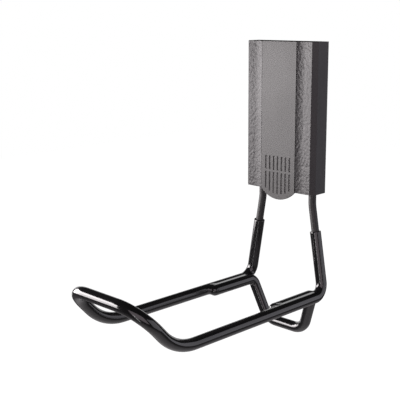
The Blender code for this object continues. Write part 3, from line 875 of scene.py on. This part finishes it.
def thumb_grooves(bottom, radius):
    """Two rows of upright hollows with round ends; the lower row follows the tongue's edge."""
    round_radius = (GROOVE_HALF_WIDTH ** 2 + GROOVE_DEPTH ** 2) / (2 * GROOVE_DEPTH)
    depth = STRIP_FRONT + GROOVE_DEPTH - round_radius
    cutters = []
    for column in range(GROOVES_PER_ROW):
        x = (column - (GROOVES_PER_ROW - 1) / 2) * GROOVE_PITCH
        edge = bottom + radius - math.sqrt(radius ** 2 - x ** 2)
        rows = ((GROOVE_SPLIT + GROOVE_HALF_WIDTH, GROOVE_TOP),
                (edge + GROOVE_MARGIN, GROOVE_SPLIT - GROOVE_HALF_WIDTH))
        for low, high in rows:
            foot = low + GROOVE_HALF_WIDTH
            head = high - GROOVE_HALF_WIDTH
            cutters.append(capsule(x, depth, foot, head, round_radius))
    return cutters


def capsule(x, y, low, high, radius):
    """An upright bar with ball ends; low and high are the balls' centres."""
    angles = [QUARTER_TURN * ring / GROOVE_RINGS for ring in range(1, GROOVE_RINGS)]
    foot = [(low - radius * math.cos(a), radius * math.sin(a)) for a in angles]
    head = [(high + radius * math.cos(a), radius * math.sin(a)) for a in reversed(angles)]
    profile = (*foot, (low, radius), (high, radius), *head)
    return turned_piece(profile, (x, y, 0), (0, 0, 1), sides=28)


def add_bosses(strip):
    """Adds the four screw bosses to the strip's back."""
    profile = (
        (STRIP_BACK - BOSS_ROOT, BOSS_RADIUS),
        (BOSS_END - BOSS_EDGE, BOSS_RADIUS),
        (BOSS_END, BOSS_RADIUS - BOSS_EDGE),
        (BOSS_END, SCREW_SHANK_RADIUS + GAP),
        (BOSS_END - BOSS_BORE, SCREW_SHANK_RADIUS + GAP),
    )
    bosses = []
    for side in (-1, 1):
        for height in BOSS_HEIGHTS:
            bosses.append(turned_piece(profile, (BOSS_X * side, 0, height), (0, 1, 0)))
    join_to(strip, bosses)


def make_strip_screws():
    """Pan-headed screws with a cross recess, from inside the cover into the strip's bosses."""
    seat = SEAT_Y + COVER_WALL + GAP
    profile = (
        (SCREW_TIP, SCREW_SHANK_RADIUS * SCREW_POINT_WIDTH),
        (SCREW_TIP + SCREW_POINT, SCREW_SHANK_RADIUS),
        (seat, SCREW_SHANK_RADIUS),
        (seat, SCREW_HEAD_RADIUS),
        *((seat + SCREW_HEAD * up, SCREW_HEAD_RADIUS * wide) for up, wide in SCREW_DOME),
    )
    screw = turned_piece(profile, (0, 0, 0), (0, 1, 0), sides=40)
    top = seat + SCREW_HEAD
    bars = ((RECESS_HALF_LENGTH, RECESS_HALF_WIDTH), (RECESS_HALF_WIDTH, RECESS_HALF_LENGTH))
    for x, z in bars:
        slot = box_piece((-x, top - RECESS_DEPTH, -z), (x, top + GAP, z))
        cut_with(screw, [slot])
    soften(screw, SCREW_HEAD_EDGE, angle=50)
    for side_name, side in SIDES:
        for level_name, height in zip(("lower", "upper"), BOSS_HEIGHTS):
            placed = copy_of(screw, Matrix.Translation((BOSS_X * side, 0, height)))
            node = f"strip_screw_{side_name}_{level_name}"
            hand_over(placed, "pan_" + node, "zinc_steel", "cover", node)
    bpy.data.objects.remove(screw)


# ---- wall plate and its fittings ------------------------------------------------------------


def make_plate():
    """A pressed plate: lugs drawn out of its front at both sides, round corners, screw holes."""
    low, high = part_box("wall_plate")
    plate = box_piece((low.x, -PLATE_THICKNESS, low.z), (high.x, 0, high.z))
    open_piece()
    inner = high.x - LUG_THICKNESS
    for x in (-inner, inner):
        cut_across((x, 0, 0), (1, 0, 0))
    for z in (-LUG_HEIGHT - LUG_HALF_HEIGHT, -LUG_HEIGHT + LUG_HALF_HEIGHT,
              LUG_HEIGHT - LUG_HALF_HEIGHT, LUG_HEIGHT + LUG_HALF_HEIGHT):
        cut_across((0, 0, z), (0, 0, 1))
    pick("FACE", lambda centre, face: face.normal.y < -0.9 and abs(centre.x) > inner
         and abs(abs(centre.z) - LUG_HEIGHT) < LUG_HALF_HEIGHT)
    pull((0, PLATE_THICKNESS - LUG_DEPTH, 0))
    pick("EDGE", lambda centre, edge: abs(abs(centre.x) - high.x) < GAP
         and abs(abs(centre.z) - high.z) < GAP
         and abs(centre.y + PLATE_THICKNESS / 2) < GAP)
    bpy.ops.mesh.bevel(offset=PLATE_CORNER, segments=8)
    face_out()
    close_piece()
    profile = (
        (-PLATE_THICKNESS, SCREW_HOLE_RADIUS),
        (PLATE_THICKNESS * COUNTERSINK_START, SCREW_HOLE_RADIUS),
        (PLATE_THICKNESS, COUNTERSINK_RADIUS),
        (PLATE_THICKNESS * 2, COUNTERSINK_RADIUS),
    )
    holes = [turned_piece(profile, (0, 0, z), (0, -1, 0), sides=48) for z in SCREW_HOLE_HEIGHTS]
    cut_with(plate, holes)
    soften(plate, PLATE_EDGE)
    hand_over(plate, "pressed_wall_plate", "plate_steel", "frame", "wall_plate")


def make_welds():
    """Rippled beads along both sides of each leg; those under the coating only take the finish."""
    pitch = 2 * WELD_HALF_LENGTH / WELD_RIPPLES
    profile = [(-WELD_HALF_LENGTH, WELD_RADIUS * WELD_END)]
    for ripple in range(WELD_RIPPLES):
        start = -WELD_HALF_LENGTH + ripple * pitch
        profile += [(start + pitch * along, WELD_RADIUS * wide) for along, wide in WELD_RIPPLE]
    profile.append((WELD_HALF_LENGTH, WELD_RADIUS * WELD_END))
    bead = turned_piece(profile, (0, 0, 0), (0, 0, 1), sides=20)
    for side_name, _ in SIDES:
        for level_name, _ in LEVELS:
            for edge_name in ("inner", "outer"):
                node = f"rod_weld_{side_name}_{level_name}_{edge_name}"
                low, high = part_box(node)
                placed = copy_of(bead, Matrix.Translation((low + high) / 2))
                hand_over(placed, "bead_" + node, "weld_steel", "frame", node, angle=60)
        for place_name in ("front", "rear"):
            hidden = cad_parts[f"brace_weld_{side_name}_{place_name}"]
            hidden.material_slots[0].material = finishes["weld_steel"]
    bpy.data.objects.remove(bead)


def make_clips_and_rivets():
    """A folded spring clip on each lug's outer side, and the rivet that holds it."""
    lug_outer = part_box("wall_plate")[1].x
    clip = folded_clip(lug_outer + GAP + CLIP_THICKNESS / 2)
    rivet = domed_rivet(lug_outer - LUG_THICKNESS)
    for side_name, side in SIDES:
        for level_name, level in LEVELS:
            change = Matrix.Translation((0, 0, LUG_HEIGHT * level)) @ Matrix.Diagonal((side, 1, 1, 1))
            spot = f"{side_name}_{level_name}"
            hand_over(copy_of(clip, change), "folded_clip_" + spot, "spring_steel", "frame",
                      "cover_clip_" + spot)
            hand_over(copy_of(rivet, change), "domed_rivet_" + spot, "zinc_steel", "frame",
                      "clip_rivet_" + spot)
    bpy.data.objects.remove(clip)
    bpy.data.objects.remove(rivet)


def folded_clip(base):
    """A strip of spring steel that stands on the lug's side at base, folded over at the front."""
    corners = [Vector((base + out, y, 0)) for out, y in CLIP_FOLD]
    clip = upright_sheet((corners[0] + corners[1]) / 2, 2 * CLIP_HALF_HEIGHT,
                         (corners[1] - corners[0]).length)
    open_piece()
    pick("EDGE", lambda centre, edge: (centre - corners[1]).length < GAP / 2)
    pull_along(corners[1:])
    face_out()
    close_piece()
    add_modifier(clip, "SOLIDIFY", thickness=CLIP_THICKNESS, offset=0, use_even_offset=True)
    soften(clip, CLIP_EDGE, angle=25)
    return clip


def domed_rivet(lug_inner):
    """A rivet with a domed head at both ends, through the lug and its clip."""
    reach = LUG_THICKNESS + GAP * 2 + CLIP_THICKNESS
    start = -GAP - RIVET_HEAD
    head = [(start + RIVET_HEAD * along, RIVET_HEAD_RADIUS * wide) for along, wide in RIVET_DOME]
    tail = [(reach + RIVET_HEAD * (1 - along), RIVET_HEAD_RADIUS * wide)
            for along, wide in reversed(RIVET_DOME)]
    profile = (*head, (-GAP, RIVET_RADIUS), (reach, RIVET_RADIUS), *tail)
    return turned_piece(profile, (lug_inner, RIVET_Y, 0), (1, 0, 0))


# ---- studio -------------------------------------------------------------------------------

CAMERA_PLACE = Vector((0.65140, -0.82296, 0.12874))
CAMERA_YAW = math.radians(44.637)
CAMERA_PITCH = math.radians(12.733)
CAMERA_ROLL = math.radians(-0.451)
CAMERA_LENS = 75.987
SENSOR_WIDTH = 36
SIGHT = (0.05, 50)                  # nearest and furthest that the camera sees
FLOOR_SIZE = 12
FLOOR_HEIGHT = -1.2
FLOOR_MOTTLE = (0.9, 0.93)
FLOOR_LIFT = 1.0
ROOM_LIGHT = 0.03
WHITE = (1, 1, 1)
LIGHTS = (                          # name, place, target, width, height, power, colour
    ("key_upper", (-0.768, -0.672, 0.0375), (0, -0.05, 0.0375), 1.1, 0.275, 9.2, (1, 0.955, 0.965)),
    ("key_lower", (-0.768, -0.672, -0.235), (0, -0.05, -0.235), 1.1, 0.27, 5.6, (1, 0.955, 0.965)),
    ("fill", (1.1, -1.3, 0.25), (0, -0.1, -0.1), 1.8, 1.5, 7.7, (1, 0.87, 0.94)),
    ("thin_fill", (0.42, -1.3, -0.5), (0, -0.1, -0.25), 0.07, 0.8, 0.8, WHITE),
    ("side_fill", (1.4, 0.7, 0.1), (0, -0.1, 0), 2.2, 1.4, 7.2, (0.94, 0.92, 1)),
    ("backdrop", (-0.63, 0.48, -0.275), (0, -0.15, -0.275), 1.5, 0.65, 1.8, WHITE),
)


def make_camera():
    """Looks at the rack from its right front, a little above the arms."""
    ahead = Vector((-math.sin(CAMERA_YAW) * math.cos(CAMERA_PITCH),
                    math.cos(CAMERA_YAW) * math.cos(CAMERA_PITCH), -math.sin(CAMERA_PITCH)))
    level = Vector((math.cos(CAMERA_YAW), math.sin(CAMERA_YAW), 0))
    up = level.cross(ahead)
    right = level * math.cos(CAMERA_ROLL) + up * math.sin(CAMERA_ROLL)
    above = up * math.cos(CAMERA_ROLL) - level * math.sin(CAMERA_ROLL)
    data = bpy.data.cameras.new("camera")
    data.sensor_width = SENSOR_WIDTH
    data.lens = CAMERA_LENS
    data.clip_start, data.clip_end = SIGHT
    camera = bpy.data.objects.new("camera", data)
    turn = Matrix((right, above, -ahead)).transposed().to_4x4()
    camera.matrix_world = Matrix.Translation(CAMERA_PLACE) @ turn
    bpy.context.scene.collection.objects.link(camera)
    bpy.context.scene.camera = camera


def make_light(name, place, target, width, height, power, colour):
    """A soft rectangular light that looks at its target and doesn't show itself."""
    data = bpy.data.lights.new(name, "AREA")
    data.shape = "RECTANGLE"
    data.size = width
    data.size_y = height
    data.energy = power
    data.color = colour
    light = bpy.data.objects.new(name, data)
    turn = (Vector(target) - Vector(place)).to_track_quat("-Z", "Y").to_matrix().to_4x4()
    light.matrix_world = Matrix.Translation(place) @ turn
    light.visible_camera = False
    bpy.context.scene.collection.objects.link(light)


def make_floor():
    """A pale floor far below the rack, which the camera sees as part of a white room."""
    begin()
    bpy.ops.mesh.primitive_plane_add(size=FLOOR_SIZE, location=(0, 0, FLOOR_HEIGHT))
    floor = bpy.context.object
    floor.name = "floor"
    pale = bpy.data.materials.new("pale_floor")
    pale.use_nodes = True
    tree = pale.node_tree
    shader = tree.nodes["Principled BSDF"]
    noise = add_noise(tree, object_place(tree), scale=3, detail=3)
    mottle = add_range(tree, noise, *GRAIN_PATCHES, *FLOOR_MOTTLE)
    colour = tree.nodes.new("ShaderNodeCombineColor")
    for channel in colour.inputs:
        tree.links.new(mottle, channel)
    tree.links.new(colour.outputs[0], shader.inputs["Base Color"])
    shader.inputs["Roughness"].default_value = 0.9
    seen = tree.nodes.new("ShaderNodeLightPath")
    shader.inputs["Emission Color"].default_value = (*WHITE, 1)
    lift = add_math(tree, "MULTIPLY", seen.outputs["Is Camera Ray"], FLOOR_LIFT)
    tree.links.new(lift, shader.inputs["Emission Strength"])
    floor.data.materials.append(pale)


def make_world():
    """A white backdrop for the camera, and a dim white room for everything else."""
    world = bpy.data.worlds.new("studio")
    bpy.context.scene.world = world
    world.use_nodes = True
    tree = world.node_tree
    room = tree.nodes["Background"]
    room.inputs["Color"].default_value = (*WHITE, 1)
    room.inputs["Strength"].default_value = ROOM_LIGHT
    backdrop = tree.nodes.new("ShaderNodeBackground")
    backdrop.inputs["Strength"].default_value = 1.0
    backdrop.inputs["Color"].default_value = (*WHITE, 1)
    ray = tree.nodes.new("ShaderNodeLightPath")
    choose = tree.nodes.new("ShaderNodeMixShader")
    tree.links.new(ray.outputs["Is Camera Ray"], choose.inputs[0])
    tree.links.new(room.outputs[0], choose.inputs[1])
    tree.links.new(backdrop.outputs[0], choose.inputs[2])
    tree.links.new(choose.outputs[0], tree.nodes["World Output"].inputs["Surface"])
    bpy.context.scene.view_settings.view_transform = "Standard"


make_rods()
make_coating()
make_cover()
make_strip()
make_strip_screws()
make_plate()
make_welds()
make_clips_and_rivets()
make_camera()
for light in LIGHTS:
    make_light(*light)
make_floor()
make_world()
